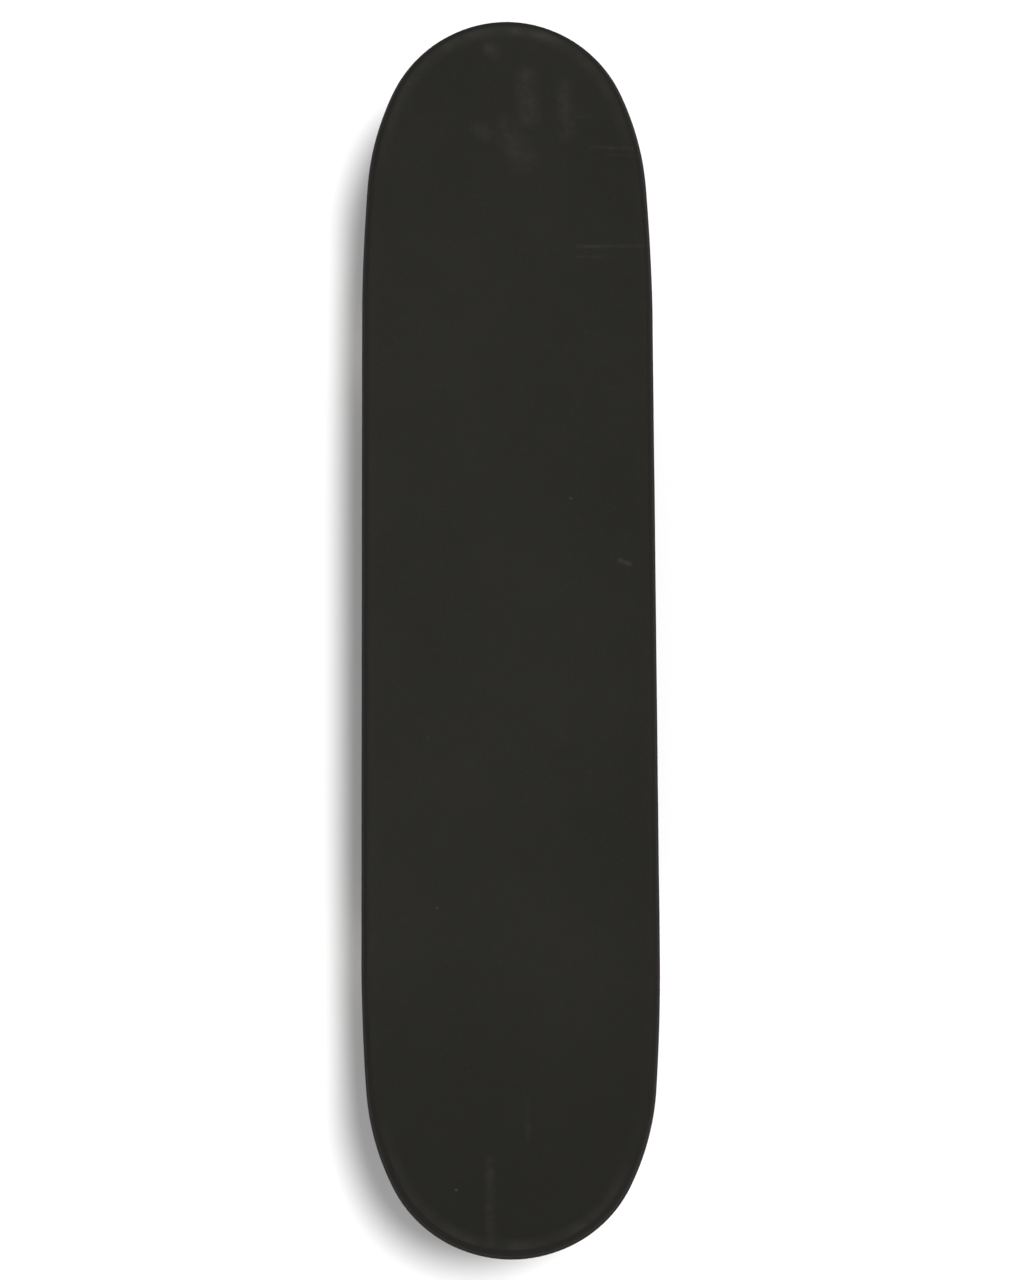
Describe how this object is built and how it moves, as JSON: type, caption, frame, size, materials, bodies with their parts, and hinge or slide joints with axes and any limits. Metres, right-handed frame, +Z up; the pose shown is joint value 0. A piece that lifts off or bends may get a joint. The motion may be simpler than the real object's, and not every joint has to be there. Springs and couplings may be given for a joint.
{
  "type": "skateboard",
  "caption": "Street skateboard: kicked, cupped maple deck under black grip tape, on two steering kingpin trucks with urethane wheels on ball bearings.",
  "frame": {"origin": "on the ground, under the middle of the deck", "axes": "+X towards the nose, +Y to the left, +Z up from the ground to the deck"},
  "size_m": [0.8021, 0.1918, 0.1385],
  "materials": {
    "grip_tape": "coarse black grit on a film, lightly scuffed",
    "face_veneer": "maple stained near black, satin lacquer",
    "core_veneer": "dyed maple, sanded and sealed edge",
    "black_steel": "black oxide",
    "zinc_plated_steel": "zinc plated",
    "cast_aluminium": "tumbled raw casting",
    "black_nylon": "moulded",
    "bushing_urethane": "cast urethane, satin",
    "axle_steel": "ground steel",
    "wheel_urethane": "off-white cast urethane, road dust",
    "bearing_steel": "ground steel, oiled",
    "bearing_shield": "moulded black seal"
  },
  "bodies": {
    "deck": {"grip_tape": "grip_tape", "deck_ply_1": "face_veneer", "deck_ply_2": "core_veneer", "deck_ply_3": "core_veneer", "deck_ply_4": "core_veneer", "deck_ply_5": "core_veneer", "deck_ply_6": "core_veneer", "deck_ply_7": "face_veneer", "mounting_bolts": "black_steel", "mounting_nuts": "zinc_plated_steel", "front_baseplate": "cast_aluminium", "front_pivot_cup": "black_nylon", "front_kingpin": "zinc_plated_steel", "front_kingpin_nut": "zinc_plated_steel", "front_cup_washer": "zinc_plated_steel", "front_board_side_bushing": "bushing_urethane", "front_road_side_bushing": "bushing_urethane", "front_flat_washer": "zinc_plated_steel", "rear_baseplate": "cast_aluminium", "rear_pivot_cup": "black_nylon", "rear_kingpin": "zinc_plated_steel", "rear_kingpin_nut": "zinc_plated_steel", "rear_cup_washer": "zinc_plated_steel", "rear_board_side_bushing": "bushing_urethane", "rear_road_side_bushing": "bushing_urethane", "rear_flat_washer": "zinc_plated_steel"},
    "front_hanger": {"front_hanger": "cast_aluminium", "front_axle": "axle_steel", "front_axle_nuts": "zinc_plated_steel", "front_speed_rings": "zinc_plated_steel", "front_left_inner_races": "bearing_steel", "front_left_bearing_spacer": "bearing_steel", "front_right_inner_races": "bearing_steel", "front_right_bearing_spacer": "bearing_steel"},
    "front_left_wheel": {"front_left_wheel": "wheel_urethane", "front_left_outer_races": "bearing_steel", "front_left_bearing_shields": "bearing_shield"},
    "front_left_cages": {"front_left_ball_cages": "bearing_steel"},
    "front_right_wheel": {"front_right_wheel": "wheel_urethane", "front_right_outer_races": "bearing_steel", "front_right_bearing_shields": "bearing_shield"},
    "front_right_cages": {"front_right_ball_cages": "bearing_steel"},
    "rear_hanger": {"rear_hanger": "cast_aluminium", "rear_axle": "axle_steel", "rear_axle_nuts": "zinc_plated_steel", "rear_speed_rings": "zinc_plated_steel", "rear_left_inner_races": "bearing_steel", "rear_left_bearing_spacer": "bearing_steel", "rear_right_inner_races": "bearing_steel", "rear_right_bearing_spacer": "bearing_steel"},
    "rear_left_wheel": {"rear_left_wheel": "wheel_urethane", "rear_left_outer_races": "bearing_steel", "rear_left_bearing_shields": "bearing_shield"},
    "rear_left_cages": {"rear_left_ball_cages": "bearing_steel"},
    "rear_right_wheel": {"rear_right_wheel": "wheel_urethane", "rear_right_outer_races": "bearing_steel", "rear_right_bearing_shields": "bearing_shield"},
    "rear_right_cages": {"rear_right_ball_cages": "bearing_steel"}
  },
  "joints": [
    {"name": "front_steer", "type": "hinge", "parent": "deck", "child": "front_hanger", "pos_m": [0.2248, 0, 0.063], "axis": [0.8503, 0, 0.5264], "range_deg": [-15, 15], "stiffness_Nm_per_rad": 25, "deforming": ["front_board_side_bushing", "front_road_side_bushing"]},
    {"name": "front_left_spin", "type": "hinge", "parent": "front_hanger", "child": "front_left_wheel", "pos_m": [0.2008, 0.0745, 0.026], "axis": [0, 1, 0], "continuous": true},
    {"name": "front_left_cage_spin", "type": "hinge", "parent": "front_hanger", "child": "front_left_cages", "pos_m": [0.2008, 0.0745, 0.026], "axis": [0, 1, 0], "continuous": true},
    {"name": "front_right_spin", "type": "hinge", "parent": "front_hanger", "child": "front_right_wheel", "pos_m": [0.2008, -0.0745, 0.026], "axis": [0, 1, 0], "continuous": true},
    {"name": "front_right_cage_spin", "type": "hinge", "parent": "front_hanger", "child": "front_right_cages", "pos_m": [0.2008, -0.0745, 0.026], "axis": [0, 1, 0], "continuous": true},
    {"name": "rear_steer", "type": "hinge", "parent": "deck", "child": "rear_hanger", "pos_m": [-0.2328, 0, 0.063], "axis": [0.8503, 0, -0.5264], "range_deg": [-15, 15], "stiffness_Nm_per_rad": 25, "deforming": ["rear_board_side_bushing", "rear_road_side_bushing"]},
    {"name": "rear_left_spin", "type": "hinge", "parent": "rear_hanger", "child": "rear_left_wheel", "pos_m": [-0.2088, 0.0745, 0.026], "axis": [0, 1, 0], "continuous": true},
    {"name": "rear_left_cage_spin", "type": "hinge", "parent": "rear_hanger", "child": "rear_left_cages", "pos_m": [-0.2088, 0.0745, 0.026], "axis": [0, 1, 0], "continuous": true},
    {"name": "rear_right_spin", "type": "hinge", "parent": "rear_hanger", "child": "rear_right_wheel", "pos_m": [-0.2088, -0.0745, 0.026], "axis": [0, 1, 0], "continuous": true},
    {"name": "rear_right_cage_spin", "type": "hinge", "parent": "rear_hanger", "child": "rear_right_cages", "pos_m": [-0.2088, -0.0745, 0.026], "axis": [0, 1, 0], "continuous": true}
  ],
  "couplings": [
    {"joint": "front_left_cage_spin", "follows": "front_left_spin", "ratio": 0.6323},
    {"joint": "front_right_cage_spin", "follows": "front_right_spin", "ratio": 0.6323},
    {"joint": "rear_left_cage_spin", "follows": "rear_left_spin", "ratio": 0.6323},
    {"joint": "rear_right_cage_spin", "follows": "rear_right_spin", "ratio": 0.6323}
  ]
}
